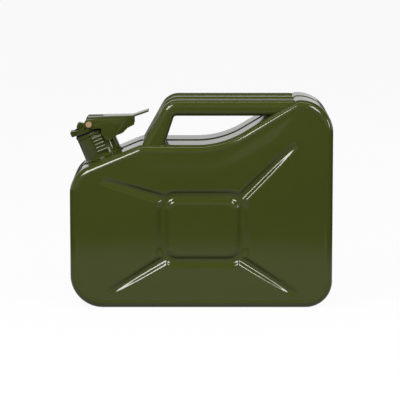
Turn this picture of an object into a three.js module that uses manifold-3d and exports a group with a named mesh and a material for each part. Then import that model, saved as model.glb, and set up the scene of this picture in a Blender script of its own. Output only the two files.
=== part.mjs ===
// A ten litre pressed-steel fuel can: two side shells welded on a recessed seam, three parallel grip bars,
// and a tilted filler neck closed by a hinged lid that a lever clamps down. Millimetres, +Z up.
// X runs along the can with the neck towards -X, Y across it. Left is -Y and right is +Y.
import * as THREE from "three";
import { mergeVertices } from "three/addons/utils/BufferGeometryUtils.js";
import { ConvexGeometry } from "three/addons/geometries/ConvexGeometry.js";
import Module from "manifold-3d";

const wasm = await Module();
wasm.setup();

// ---- driving dimensions ----
const canLength = 345;
const canHeight = 274.5;
const canDepth = 135;
const sheet = 1; // wall of the pressed shells
const gap = 0.3; // between pieces that touch on the real can
const edgeRound = 10; // where each side panel turns into the rim

// Side outline
const gripDrop = 58.9; // from the top of the can down to the flat under the grip
const shoulderAngle = 22.5; // degrees
const shoulderRun = 92.7; // from the front of the can back to the top of the shoulder
const humpAngle = 31; // degrees, slope from the grip flat up to the hump
const humpRun = 47.1; // from the top of that slope back to the rear of the can
const cornerRounds = {
  frontFoot: 43,
  rearFoot: 35,
  rearTop: 40,
  humpTop: 12,
  dip: 120,
  shoulder: 20,
  front: 38,
};

// Weld seam
const seamWidth = 14;
const seamDepth = 4.5;
const weldWidth = 3.2;
const weldHeight = 2.4;

// Pressed channels
const channelDepth = 4.5;
const channelSlope = 6.5; // how far a wall leans over its depth
const panelLength = 88;
const panelHeight = 70;
const panelShift = 1.7; // the panel's centre, back from the middle of the can
const panelDrop = 2; // and down from half the height of the grip flat
const panelRound = 10;
const channelWidth = 16.5;
const armHalfWidth = 8;
const armTipShare = 0.75; // an arm's width at its tip
const armTipDepth = 0.2; // an arm's depth at its tip, as a share
// How far each arm's tip lies in from the end and from the top or foot of the can
const armEndInsets = {
  frontTop: [46.5, 105.5],
  rearTop: [52.5, 59.5],
  frontFoot: [55, 23],
  rearFoot: [51, 20.4],
};

// Grip bars
const barWidth = 22;
const barHeight = 20.8;
const barPitch = 49;
const barWall = 1.2;
const barEdge = 9;
const barTopDrop = 0.5; // the bars' tops below the top of the can
const barBend = 25;
const barInnerBend = 4;
const barEndPast = 4; // the bars' rear ends past the top of the hump's slope
const barRootDepth = 15; // the legs' feet below the grip flat, before the shells' shape is cut off them
const legOuterAngle = 60.8; // degrees from level
const legInnerAngle = 71.8;
const legRun = 127.5; // from the front of the can back to the outer corner of the bend
const legThickness = 9.5; // from the outer corner of the bend to the inner one

// Filler neck, in its own frame: x uphill along the shoulder, z out along the neck
const neckPlace = 46.4; // from the front corner of the outline, along the shoulder
const neckRadius = 24.75;
const neckWall = 1.5;
const neckHeight = 32;
const neckInside = 14;
const collarWidth = 3.5;
const collarHeight = 2.5;
const mouthLip = 0.75; // how far the mouth ring stands out past the neck
const mouthHeight = 4;
const mouthLand = 4; // width of the ring's sealing face

// Lid and its hinge
const lidOverhang = 1.5; // past the mouth ring
const lidThickness = 2;
const lidRimHeight = 3.6;
const lidRimWidth = 2.4;
const lidFrontHeight = 7; // the rim's raised front
const lidFrontEnd = -9; // where the raised front stops, short of the lever's pin
const gasketThickness = 2;
const gasketStep = 1; // the gasket's edge inside the mouth ring's
const retainerPlay = 3.8; // the retainer's edge inside the mouth's bore
const rivetRadius = 2.5;
const hingePinRadius = 2;
const knuckleRadius = 3.5;
const knuckleHalf = 14.7;
const hingePinHead = 3.2;
const hingePinHeadLength = 1.5;
const lugThickness = 3;
const strapHalf = 12;
const lipHalf = 11;
const lipReach = 2.5;
const lipHeight = 8;
const lidEdgeBreak = 0.8;
const rivetHead = 5;
const rivetHeadHeight = 1;
const bridgeSheet = 1.5;
const earInset = 10.5; // the bridge ears' outer faces inside the lid's edge
const earThickness = 2;

// Lever
const leverPlay = 0.5; // between the lid's edge and each cheek
const leverSheet = 2;
const leverLength = 58; // from the pin to the end of the top plate
const plateClearance = 1.2; // under the top plate, over the hinge strap
const leverPinRadius = 2.5;
const leverPinHead = 4;
const leverEye = 6.5;
const leverPinX = -0.4;
const leverPinRise = 12; // above the mouth
const plateLead = [2.2, 9]; // the top plate's front edge, from the pin
const plateCrown = 5; // how far the top plate falls from its middle to its long edges
const crownPower = 2.5; // 2 gives the plate half an ellipse for a section, and more a squarer one
const crownSteps = 8;
const taperStart = 36; // along the top plate, where the cheeks turn in towards the thumb tab
const taperHalf = 16; // half the width at the plate's end
const tabLength = 20.5;
const tabTilt = -3.7; // degrees from the neck frame's x
const tabHalf = 14;
const noseSlotReach = 20.5; // the slot's end, back from the pin
const noseSlotPlay = 2; // each side of the catch
const catchHalf = 6;
const latchLugSpan = [-4, 9]; // along the neck frame's x
const latchLugRange = [7, 31]; // along the neck
const latchLugSlots = 3;

// Breather tube
const breatherRadius = 4;
const breatherBore = 3;
const breatherSteps = 36;

const arcSteps = 3;
const edgeSteps = 3;
const turnSteps = 28;
const clear = 80; // reach of a cutting tool past what it cuts

// ---- worked out from them ----
const mouthRadius = neckRadius + mouthLip;
const mouthBore = mouthRadius - mouthLand;
const lidRadius = mouthRadius + lidOverhang;
const gasketRadius = mouthRadius - gasketStep;
const retainerRadius = mouthBore - retainerPlay;
const leverHalf = lidRadius + leverPlay + leverSheet;
const earHalf = lidRadius - earInset;

// ---- finishes ----
const enamel = new THREE.MeshStandardMaterial({ color: 0x3c4218, roughness: 0.22, metalness: 0.1 });
const copper = new THREE.MeshStandardMaterial({ color: 0xb98a62, roughness: 0.35, metalness: 0.9 });
const rubber = new THREE.MeshStandardMaterial({ color: 0x1b1b1b, roughness: 0.8, metalness: 0 });
const steel = new THREE.MeshStandardMaterial({ color: 0x9a9a94, roughness: 0.4, metalness: 0.9 });

// ---- solids ----
const radians = THREE.MathUtils.degToRad;

function toSolid(geometry) {
  geometry.deleteAttribute("normal");
  geometry.deleteAttribute("uv");
  const merged = mergeVertices(geometry, 1e-3);
  const corners = merged.index.array;
  const faces = [];
  for (let i = 0; i < corners.length; i += 3) {
    const [a, b, c] = corners.slice(i, i + 3);
    if (a !== b && b !== c && a !== c) faces.push(a, b, c);
  }
  const build = (triVerts) =>
    new wasm.Manifold(
      new wasm.Mesh({ numProp: 3, vertProperties: merged.attributes.position.array, triVerts }),
    );
  const solid = build(new Uint32Array(faces));
  return solid.volume() > 0 ? solid : build(new Uint32Array(faces.reverse()));
}

function toGeometry(solid) {
  const { vertProperties, triVerts } = solid.getMesh();
  const geometry = new THREE.BufferGeometry();
  geometry.setAttribute("position", new THREE.BufferAttribute(vertProperties, 3));
  geometry.setIndex(new THREE.BufferAttribute(triVerts, 1));
  return geometry;
}

function piece(name, solid, finish, parent) {
  const geometry = toGeometry(solid);
  geometry.computeVertexNormals();
  const mesh = new THREE.Mesh(geometry, finish.clone());
  mesh.name = name;
  parent.add(mesh);
}

function mirroredAcross(solid) {
  return toSolid(toGeometry(solid).scale(1, -1, 1));
}

// A shape in X and Z, given thickness from y = from to y = to, with its edges rounded or chamfered.
function slab(shape, from, to, round = 0, steps = edgeSteps, slope = round) {
  const geometry = new THREE.ExtrudeGeometry(shape, {
    depth: to - from - 2 * round,
    bevelEnabled: round > 0,
    bevelThickness: round,
    bevelSize: slope,
    bevelOffset: -slope,
    bevelSegments: steps,
    curveSegments: arcSteps,
  });
  geometry.translate(0, 0, round).rotateX(Math.PI / 2).translate(0, to, 0);
  return toSolid(geometry);
}

function block(low, high) {
  const size = high.map((value, i) => value - low[i]);
  const centre = high.map((value, i) => (value + low[i]) / 2);
  return toSolid(new THREE.BoxGeometry(...size).translate(...centre));
}

// A profile of [radius, height] points turned round the Z axis.
function turned(profile) {
  const points = profile.map(([radius, height]) => new THREE.Vector2(radius, height));
  return new THREE.LatheGeometry(points, turnSteps).rotateX(Math.PI / 2);
}

function ringProfile(inner, outer, low, high) {
  return [[inner, low], [outer, low], [outer, high], [inner, high], [inner, low]];
}

// A solid cylinder along Z, for cutting.
function cylinder(radius, low, high) {
  return toSolid(turned([[0, low], [radius, low], [radius, high], [0, high]]));
}

// The two ends of a range on one side of the middle, in rising order.
function sideRange(side, inner, outer) {
  return [side * inner, side * outer].sort((a, b) => a - b);
}

// A rod along Y through a point of the X-Z plane, with a head at each end when headRadius is given.
function rodAcross(x, z, radius, half, headRadius = radius, headLength = 1) {
  const end = half + headLength;
  const profile = [[0, -end], [headRadius, -end], [headRadius, -half], [radius, -half]];
  const mirrored = [...profile].reverse().map(([r, y]) => [r, -y]);
  return toSolid(turned([...profile, ...mirrored]).rotateX(Math.PI / 2).translate(x, 0, z));
}

// A closed outline of straight sides with rounded corners, moved inwards by inset. Corners run anticlockwise.
function outline(corners, inset = 0) {
  const count = corners.length;
  const sides = corners.map((corner, i) => {
    const next = corners[(i + 1) % count];
    const direction = new THREE.Vector2(next.x - corner.x, next.z - corner.z).normalize();
    const inward = new THREE.Vector2(-direction.y, direction.x);
    const start = new THREE.Vector2(corner.x, corner.z).addScaledVector(inward, inset);
    return { direction, inward, start };
  });
  const shape = new THREE.Shape();
  corners.forEach((corner, i) => {
    const before = sides[(i + count - 1) % count];
    const after = sides[i];
    const turn = Math.atan2(before.direction.cross(after.direction), before.direction.dot(after.direction));
    const between = after.start.clone().sub(before.start);
    const along = between.cross(after.direction) / before.direction.cross(after.direction);
    const point = before.start.clone().addScaledVector(before.direction, along);
    const side = Math.sign(turn);
    const radius = corner.r - side * inset;
    if (!(radius > 0)) {
      if (i === 0) shape.moveTo(point.x, point.y);
      else shape.lineTo(point.x, point.y);
      return;
    }
    const start = point.clone().addScaledVector(before.direction, -radius * Math.tan(Math.abs(turn) / 2));
    const centre = start.clone().addScaledVector(before.inward, side * radius);
    const angle = Math.atan2(start.y - centre.y, start.x - centre.x);
    if (i === 0) shape.moveTo(start.x, start.y);
    else if (shape.curves.length === 0) shape.lineTo(start.x, start.y);
    shape.absarc(centre.x, centre.y, radius, angle, angle + turn, turn < 0);
  });
  return shape;
}

function rectangleCorners(centre, length, height, r) {
  const [x, z] = centre;
  const signs = [[-1, -1], [1, -1], [1, 1], [-1, 1]];
  return signs.map(([sx, sz]) => ({ x: x + (sx * length) / 2, z: z + (sz * height) / 2, r }));
}

// ---- the can's side outline ----
const front = -canLength / 2;
const rear = canLength / 2;
const halfDepth = canDepth / 2;
const gripLevel = canHeight - gripDrop;
const panelCentre = [panelShift, gripLevel / 2 - panelDrop];
const shoulderTopX = front + shoulderRun;
const shoulderFootZ = gripLevel - shoulderRun * Math.tan(radians(shoulderAngle));
const humpTopX = rear - humpRun;
const dipX = humpTopX - (canHeight - gripLevel) / Math.tan(radians(humpAngle));
const canCorners = [
  { x: front, z: 0, r: cornerRounds.frontFoot },
  { x: rear, z: 0, r: cornerRounds.rearFoot },
  { x: rear, z: canHeight, r: cornerRounds.rearTop },
  { x: humpTopX, z: canHeight, r: cornerRounds.humpTop },
  { x: dipX, z: gripLevel, r: cornerRounds.dip },
  { x: shoulderTopX, z: gripLevel, r: cornerRounds.shoulder },
  { x: front, z: shoulderFootZ, r: cornerRounds.front },
];

// ---- the neck's frame ----
const neckTilt = radians(shoulderAngle);
const neckFrame = new THREE.Group();
neckFrame.position.set(
  front + neckPlace * Math.cos(neckTilt),
  0,
  shoulderFootZ + neckPlace * Math.sin(neckTilt),
);
neckFrame.rotation.y = -neckTilt;
neckFrame.updateMatrix();
const neckPoint = (x, y, z) => new THREE.Vector3(x, y, z).applyMatrix4(neckFrame.matrix);

const can = new THREE.Group();
can.add(neckFrame);

// ---- shells ----

// A trough from one point of the side panel to another, narrowing and fading towards its tip.
function armTrough(from, to, grow) {
  const along = new THREE.Vector2(to[0] - from[0], to[1] - from[1]).normalize();
  const across = new THREE.Vector2(-along.y, along.x);
  const points = [];
  const addSection = ([x, z], share, reach) => {
    const half = armHalfWidth * share + grow;
    const floorHalf = Math.max(half - channelSlope * share, 1);
    const depth = channelDepth * (share === 1 ? 1 : armTipDepth) + grow;
    const levels = [[half, 1], [half, 0], [floorHalf, -depth]];
    for (const [width, level] of levels) {
      for (const side of [-1, 1]) {
        const px = x + along.x * reach + across.x * width * side;
        const pz = z + along.y * reach + across.y * width * side;
        points.push(new THREE.Vector3(px, -halfDepth - level, pz));
      }
    }
  };
  addSection(from, 1, 0);
  addSection(to, armTipShare, grow);
  return toSolid(new ConvexGeometry(points));
}

const armEnds = [
  [front + armEndInsets.frontTop[0], canHeight - armEndInsets.frontTop[1]],
  [rear - armEndInsets.rearTop[0], canHeight - armEndInsets.rearTop[1]],
  [front + armEndInsets.frontFoot[0], armEndInsets.frontFoot[1]],
  [rear - armEndInsets.rearFoot[0], armEndInsets.rearFoot[1]],
];

// The frame-shaped channel round the centre panel with its four arms, as the space pressed out of a side.
function pressing(grow) {
  const frameSize = [panelLength + 2 * channelWidth, panelHeight + 2 * channelWidth];
  const frameRound = panelRound + channelWidth / 2;
  const floor = -halfDepth + channelDepth + grow;
  const frameShape = outline(rectangleCorners(panelCentre, ...frameSize, frameRound), -grow);
  const hollow = slab(frameShape, -halfDepth - clear, floor, channelDepth, 1, channelSlope);
  const overshoot = 1;
  const rise = channelDepth + grow + overshoot;
  const lean = (channelSlope * rise) / channelDepth;
  const islandInset = grow - (channelSlope * (channelDepth + grow)) / channelDepth;
  const islandCorners = rectangleCorners(panelCentre, panelLength, panelHeight, panelRound);
  const islandShape = outline(islandCorners, islandInset);
  const island = slab(islandShape, -halfDepth - overshoot, floor + clear, rise, 1, lean);
  let space = hollow.subtract(island);
  for (const end of armEnds) {
    const sideX = Math.sign(end[0] - panelCentre[0]);
    const sideZ = Math.sign(end[1] - panelCentre[1]);
    const start = [
      panelCentre[0] + sideX * (panelLength / 2 + channelWidth / 2),
      panelCentre[1] + sideZ * (panelHeight / 2 + channelWidth / 2),
    ];
    space = space.add(armTrough(start, end, grow));
  }
  return space;
}

// The groove all round the rim, down to depth below the outline.
function seamGroove(depth, half) {
  const beyond = slab(outline(canCorners, -5), -half, half);
  return beyond.subtract(slab(outline(canCorners, depth), -half - 1, half + 1));
}

const outerBody = slab(outline(canCorners), -halfDepth, halfDepth, edgeRound);
const innerBody = slab(outline(canCorners, sheet), -halfDepth + sheet, halfDepth - sheet, edgeRound - sheet);
const outerForm = outerBody.subtract(seamGroove(seamDepth, seamWidth / 2)).subtract(pressing(0));
const innerForm = innerBody
  .subtract(seamGroove(seamDepth + sheet, seamWidth / 2 + sheet))
  .subtract(pressing(sheet));
const neckHole = cylinder(neckRadius + gap, -clear, clear).transform(neckFrame.matrix.elements);
const far = 2 * canLength;
const leftShell = outerForm
  .subtract(innerForm)
  .intersect(block([-far, -far, -far], [far, -gap / 2, far]))
  .subtract(neckHole);
piece("side_shell_left", leftShell, enamel, can);
piece("side_shell_right", mirroredAcross(leftShell), enamel, can);

const weldFoot = seamDepth - gap;
const weldBand = slab(outline(canCorners, weldFoot - weldHeight), -weldWidth / 2, weldWidth / 2)
  .subtract(slab(outline(canCorners, weldFoot), -weldWidth, weldWidth))
  .subtract(neckHole);
piece("seam_weld_band", weldBand, enamel, can);

// ---- grip bars ----
const barTop = canHeight - barTopDrop;
const barUnder = barTop - barHeight;
const bendX = front + legRun;
const innerBendX = bendX + legThickness;
const barRoot = gripLevel - barRootDepth;
const barEndX = humpTopX + barEndPast;
const barCorners = [
  { x: barEndX, z: barTop, r: 0 },
  { x: bendX, z: barTop, r: barBend },
  { x: bendX - (barTop - barRoot) / Math.tan(radians(legOuterAngle)), z: barRoot, r: 0 },
  { x: innerBendX - (barUnder - barRoot) / Math.tan(radians(legInnerAngle)), z: barRoot, r: 0 },
  { x: innerBendX, z: barUnder, r: barInnerBend },
  { x: barEndX, z: barUnder, r: 0 },
];
const canClearance = slab(outline(canCorners, -gap), -halfDepth - gap, halfDepth + gap, edgeRound);
function gripBar(y) {
  const half = barWidth / 2;
  const skin = slab(outline(barCorners), y - half, y + half, barEdge);
  const bore = slab(outline(barCorners, barWall), y - half + barWall, y + half - barWall, barEdge - barWall);
  return skin.subtract(bore).subtract(canClearance);
}
piece("handle_bar_left", gripBar(-barPitch), enamel, can);
piece("handle_bar_centre", gripBar(0), enamel, can);
piece("handle_bar_right", gripBar(barPitch), enamel, can);

// ---- filler neck ----
const neckInner = neckRadius - neckWall;
const mouthFoot = neckHeight + gap;
const mouthTop = mouthFoot + mouthHeight;
const neckTube = turned(ringProfile(neckInner, neckRadius, -neckInside, neckHeight));
piece("filler_neck", toSolid(neckTube), enamel, neckFrame);
const collarInner = neckRadius + gap;
const collar = turned(ringProfile(collarInner, collarInner + collarWidth, gap, gap + collarHeight));
piece("neck_weld_collar", toSolid(collar), enamel, neckFrame);
const mouthRing = turned(ringProfile(mouthBore, mouthRadius, mouthFoot, mouthTop));
piece("mouth_ring", toSolid(mouthRing), enamel, neckFrame);

const neckKeepOut = cylinder(collarInner, -clear, clear);
function latchLug(side) {
  const outer = leverHalf - leverSheet - gap;
  const [rootY, faceY] = sideRange(side, neckInner / 2, outer);
  const [lowX, highX] = latchLugSpan;
  const [lowZ, highZ] = latchLugRange;
  let lug = block([lowX, rootY, lowZ], [highX, faceY, highZ]).subtract(neckKeepOut);
  const pitch = (highZ - lowZ) / (latchLugSlots + 1);
  const slotDepth = 1.2;
  const slotHalf = 1;
  const slotInset = 1.5;
  const [lowY, highY] = sideRange(side, outer - slotDepth, outer + slotDepth);
  for (let i = 1; i <= latchLugSlots; i += 1) {
    const z = lowZ + i * pitch;
    lug = lug.subtract(block([lowX + slotInset, lowY, z - slotHalf], [highX + 1, highY, z + slotHalf]));
  }
  return lug;
}
piece("latch_lug_left", latchLug(-1), enamel, neckFrame);
piece("latch_lug_right", latchLug(1), enamel, neckFrame);

// ---- lid hinge ----
const gasketFoot = mouthTop + gap;
const lidFoot = gasketFoot + gasketThickness + gap;
const lidTop = lidFoot + lidThickness;
const hingeX = mouthRadius + gap + knuckleRadius;
const hingeZ = lidFoot - gap - knuckleRadius;
const hingeBore = rodAcross(hingeX, hingeZ, hingePinRadius + gap, leverHalf);
const lugRootX = neckRadius - 9;
const lugDrop = 14; // how far down the neck a lug's web reaches below the hinge
const lugEye = knuckleRadius + 0.4;
const mouthKeepOut = cylinder(mouthRadius + gap, neckHeight - 1, mouthTop + gap);
function hingeLug(side) {
  const [inner, outer] = sideRange(side, knuckleHalf + gap, knuckleHalf + gap + lugThickness);
  const shape = new THREE.Shape();
  shape.moveTo(lugRootX, hingeZ - lugDrop);
  shape.absarc(hingeX, hingeZ, lugEye, radians(-50), radians(110));
  shape.lineTo(lugRootX, hingeZ - 1);
  shape.closePath();
  return slab(shape, inner, outer)
    .subtract(neckKeepOut)
    .subtract(mouthKeepOut)
    .subtract(hingeBore);
}
piece("hinge_lug_left", hingeLug(-1), enamel, neckFrame);
piece("hinge_lug_right", hingeLug(1), enamel, neckFrame);
const hingePinHalf = knuckleHalf + gap + lugThickness + gap;
const hingePin = rodAcross(hingeX, hingeZ, hingePinRadius, hingePinHalf, hingePinHead, hingePinHeadLength);
piece("hinge_pin", hingePin, steel, neckFrame);

// ---- lid ----
const rimTop = lidFoot + lidRimHeight;
const bridgeFoot = lidTop + gap;
const bridgeTop = bridgeFoot + bridgeSheet;
const lidProfile = [
  [rivetRadius + gap, lidFoot],
  [lidRadius - lidEdgeBreak, lidFoot],
  [lidRadius, lidFoot + lidEdgeBreak],
  [lidRadius, rimTop - lidEdgeBreak],
  [lidRadius - lidEdgeBreak, rimTop],
  [lidRadius - lidRimWidth, rimTop],
  [lidRadius - lidRimWidth, lidTop],
  [rivetRadius + gap, lidTop],
  [rivetRadius + gap, lidFoot],
];
const lip = slab(
  outline([
    { x: -lidRadius - lipReach, z: lidFoot, r: 2 },
    { x: -lidRadius + lidRimWidth, z: lidFoot, r: 0 },
    { x: -lidRadius + lidRimWidth, z: lidFoot + lipHeight, r: 0 },
    { x: -lidRadius - lipReach, z: lidFoot + lipHeight, r: 2 },
  ]),
  -lipHalf,
  lipHalf,
  1,
  2,
);
const frontTop = lidFoot + lidFrontHeight;
const frontProfile = [
  [lidRadius - lidRimWidth, lidFoot + lidEdgeBreak],
  [lidRadius, lidFoot + lidEdgeBreak],
  [lidRadius, frontTop - lidEdgeBreak],
  [lidRadius - lidEdgeBreak, frontTop],
  [lidRadius - lidRimWidth, frontTop],
  [lidRadius - lidRimWidth, lidFoot + lidEdgeBreak],
];
const frontSpace = block([-clear, -clear, 0], [lidFrontEnd, clear, clear]);
const frontRim = toSolid(turned(frontProfile)).intersect(frontSpace);
const passageHalf = strapHalf + gap;
const strapPassage = block([0, -passageHalf, lidTop], [lidRadius + clear, passageHalf, rimTop + clear]);
const lidPlate = toSolid(turned(lidProfile)).add(frontRim).add(lip).subtract(strapPassage);
piece("lid_plate", lidPlate, enamel, neckFrame);
const gasketTop = gasketFoot + gasketThickness;
const gasket = turned(ringProfile(retainerRadius + gap, gasketRadius, gasketFoot, gasketTop));
piece("lid_gasket", toSolid(gasket), rubber, neckFrame);
const retainerFoot = gasketFoot - 1;
const retainerTop = lidFoot - gap;
const retainer = turned(ringProfile(rivetRadius + gap, retainerRadius, retainerFoot, retainerTop));
piece("gasket_retainer", toSolid(retainer), steel, neckFrame);
const underHead = retainerFoot - gap;
const overHead = bridgeTop + gap;
const rivetProfile = [
  [0, underHead - rivetHeadHeight],
  [rivetHead, underHead - rivetHeadHeight],
  [rivetHead, underHead],
  [rivetRadius, underHead],
  [rivetRadius, overHead],
  [rivetHead, overHead],
  [rivetHead - 1, overHead + rivetHeadHeight],
  [0, overHead + rivetHeadHeight],
];
piece("retainer_rivet", toSolid(turned(rivetProfile)), steel, neckFrame);

const leverPinZ = mouthTop + leverPinRise;
const leverBore = rodAcross(leverPinX, leverPinZ, leverPinRadius + gap, leverHalf + clear);
const bridgeReach = 16;
const strapOuterX = hingeX + 1.9;
const strapInnerX = lidRadius + gap + 0.1;
const strapStart = bridgeReach - 2;
const strapFoot = hingeZ + 0.5;
const strap = outline([
  { x: strapStart, z: bridgeFoot, r: 0 },
  { x: strapInnerX, z: bridgeFoot, r: 0 },
  { x: strapInnerX, z: strapFoot, r: 0 },
  { x: strapOuterX, z: strapFoot, r: 0 },
  { x: strapOuterX, z: bridgeTop, r: 1.2 },
  { x: strapStart, z: bridgeTop, r: 0 },
]);
const earFoot = 7; // half the foot of a bridge ear
const earEye = leverPinRadius + 2;
const earShape = new THREE.Shape();
earShape.moveTo(earFoot, bridgeFoot);
earShape.absarc(leverPinX, leverPinZ, earEye, radians(20), radians(160));
earShape.lineTo(-earFoot, bridgeFoot);
earShape.closePath();
const rivetBore = cylinder(rivetRadius + gap, 0, clear);
const bridge = block([-bridgeReach, -earHalf, bridgeFoot], [bridgeReach, earHalf, bridgeTop])
  .add(slab(earShape, -earHalf, -earHalf + earThickness))
  .add(slab(earShape, earHalf - earThickness, earHalf))
  .add(slab(strap, -strapHalf, strapHalf))
  .add(rodAcross(hingeX, hingeZ, knuckleRadius, knuckleHalf - 1))
  .subtract(hingeBore)
  .subtract(leverBore)
  .subtract(rivetBore);
piece("lid_bridge", bridge, enamel, neckFrame);

const catchFoot = bridgeTop + gap;
// A stub that leans forward over the lid's front lip
const nub = outline([
  { x: -15.5, z: catchFoot, r: 0 },
  { x: -8, z: catchFoot, r: 0 },
  { x: -6.5, z: catchFoot + 6, r: 2 },
  { x: -14.5, z: catchFoot + 12, r: 3 },
  { x: -20, z: catchFoot + 5, r: 3 },
]);
piece("lid_catch", slab(nub, -catchHalf, catchHalf, 1.5, 2), enamel, neckFrame);

const spacerRadius = leverPinRadius + 1.5;
const spacerPlay = 1.8; // from each cheek, below where the top plate curves in
function pinSpacer(side) {
  const [low, high] = sideRange(side, earHalf + gap, leverHalf - leverSheet - spacerPlay);
  const sleeve = turned(ringProfile(leverPinRadius + gap, spacerRadius, low, high));
  return toSolid(sleeve.rotateX(-Math.PI / 2).translate(leverPinX, 0, leverPinZ));
}
piece("pin_spacer_left", pinSpacer(-1), steel, neckFrame);
piece("pin_spacer_right", pinSpacer(1), steel, neckFrame);

// ---- lever ----
const plateStart = [leverPinX + plateLead[0], leverPinZ + plateLead[1]];
const plateUnder = plateStart[1] - leverSheet - plateClearance;
const plateFall = (plateUnder - bridgeTop) / (strapOuterX - plateStart[0]);
const plateRun = leverPinX + leverLength - plateStart[0];
const plateEnd = [plateStart[0] + plateRun, plateStart[1] - plateRun * plateFall];
const cheek = new THREE.Shape();
cheek.absarc(leverPinX, leverPinZ, leverEye, radians(130), radians(260));
// The cheek's lower edge from the pin: a hook down beside the latch lug, then back along the lever
const cheekPoints = [
  [13.2, -10.8],
  [10.5, -17.3],
  [13.2, -28],
  [16.5, -30.2],
  [21, -29.6],
  [28.1, -27.5],
  [36.9, -27.9],
  [45, -24.6],
  [58, -24.3],
];
for (const [dx, dz] of cheekPoints) cheek.lineTo(leverPinX + dx, leverPinZ + dz);
cheek.lineTo(...plateEnd);
cheek.lineTo(...plateStart);
cheek.closePath();
// Along the top plate, with z out of it
const plateFrame = new THREE.Matrix4()
  .makeTranslation(plateStart[0], 0, plateStart[1])
  .multiply(new THREE.Matrix4().makeRotationY(Math.atan(plateFall)));
const acrossPlate = new THREE.Matrix4().makeBasis(
  new THREE.Vector3(0, 1, 0),
  new THREE.Vector3(0, 0, 1),
  new THREE.Vector3(1, 0, 0),
);

// A shape's solid through the lever, laid by a matrix in the top plate's frame.
function prism(shape, place) {
  const geometry = new THREE.ExtrudeGeometry(shape, { depth: 2 * clear, bevelEnabled: false });
  return toSolid(geometry.translate(0, 0, -clear).applyMatrix4(place).applyMatrix4(plateFrame));
}

// What lies under the crowned top and between the cheeks, moved inwards by inset.
function leverSpace(inset) {
  const half = leverHalf - inset;
  const section = new THREE.Shape();
  section.moveTo(half, -clear);
  for (let i = 0; i <= crownSteps; i += 1) {
    const share = Math.cos((Math.PI * i) / crownSteps);
    const fullness = (1 - Math.abs(share) ** crownPower) ** (1 / crownPower);
    section.lineTo(half * share, -inset - plateCrown * (1 - fullness));
  }
  section.lineTo(-half, -clear);
  section.closePath();
  const plateLength = Math.hypot(plateEnd[0] - plateStart[0], plateEnd[1] - plateStart[1]);
  const slope = (leverHalf - taperHalf) / (plateLength - taperStart);
  const endHalf = half - slope * (plateLength + 1 - taperStart);
  const plan = new THREE.Shape();
  plan.moveTo(-clear, -half);
  plan.lineTo(taperStart, -half);
  plan.lineTo(plateLength + 1, -endHalf);
  plan.lineTo(plateLength + 1, endHalf);
  plan.lineTo(taperStart, half);
  plan.lineTo(-clear, half);
  plan.closePath();
  return prism(section, acrossPlate).intersect(prism(plan, new THREE.Matrix4()));
}
const tab = new THREE.Shape();
const tabEnd = [
  plateEnd[0] + tabLength * Math.cos(radians(tabTilt)),
  plateEnd[1] + tabLength * Math.sin(radians(tabTilt)),
];
tab.moveTo(plateEnd[0] - 2, plateEnd[1] - leverSheet);
tab.lineTo(tabEnd[0], tabEnd[1] - leverSheet);
tab.lineTo(...tabEnd);
tab.lineTo(plateEnd[0] - 0.5, plateEnd[1] + 0.05);
tab.closePath();
const noseHalf = catchHalf + noseSlotPlay;
const noseSlot = block(
  [leverPinX - leverEye, -noseHalf, leverPinZ],
  [leverPinX + noseSlotReach, noseHalf, leverPinZ + clear],
);
const lever = slab(cheek, -leverHalf, leverHalf)
  .intersect(leverSpace(0))
  .subtract(leverSpace(leverSheet))
  .add(slab(tab, -tabHalf, tabHalf))
  .subtract(leverBore)
  .subtract(noseSlot);
piece("lever_channel", lever, enamel, neckFrame);
const leverPin = rodAcross(leverPinX, leverPinZ, leverPinRadius, leverHalf + gap, leverPinHead, 2);
piece("lever_pin", leverPin, copper, neckFrame);

// ---- breather tube ----
const breatherX = neckInner - 2 * gap - breatherRadius;
const tubeSection = new THREE.Shape();
tubeSection.absarc(0, 0, breatherRadius, 0, 2 * Math.PI);
const tubeBore = new THREE.Path();
tubeBore.absarc(0, 0, breatherBore, 0, 2 * Math.PI);
tubeSection.holes.push(tubeBore);
const breatherRun = gripLevel - 22; // the level of the tube's run under the grip
// Down the inside of the neck, back under the grip flat, and up into the air space of the hump
const breatherRoute = new THREE.CatmullRomCurve3([
  neckPoint(breatherX, 0, neckHeight - 4),
  neckPoint(breatherX, 0, (neckHeight - neckInside) / 2),
  neckPoint(breatherX, 0, -neckInside),
  neckPoint(breatherX, 0, -neckInside - 8),
  neckPoint(breatherX + 14, 0, -neckInside - 14),
  new THREE.Vector3(shoulderTopX + 8, 0, breatherRun - 4),
  new THREE.Vector3(shoulderTopX + 40, 0, breatherRun),
  new THREE.Vector3(dipX - 20, 0, breatherRun),
  new THREE.Vector3(dipX + 30, 0, breatherRun + 10),
  new THREE.Vector3(humpTopX - 15, 0, canHeight - 40),
  new THREE.Vector3(humpTopX + 4, 0, canHeight - 16),
]);
const breather = new THREE.ExtrudeGeometry(tubeSection, {
  steps: breatherSteps,
  curveSegments: 4,
  extrudePath: breatherRoute,
});
piece("breather_tube", toSolid(breather), steel, can);

// ---- the part's own frame: bottom centre of the whole object ----
can.updateMatrixWorld(true);
const box = new THREE.Box3().setFromObject(can, true);
can.position.set(-(box.min.x + box.max.x) / 2, -(box.min.y + box.max.y) / 2, -box.min.z);
can.updateMatrixWorld(true);

export default can;
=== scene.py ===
"""A ten litre pressed-steel fuel can in gloss olive enamel, on a pale studio floor. Metres, +Z up."""
import math

import bmesh
import bpy
import numpy as np
from mathutils import Matrix, Vector


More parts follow.
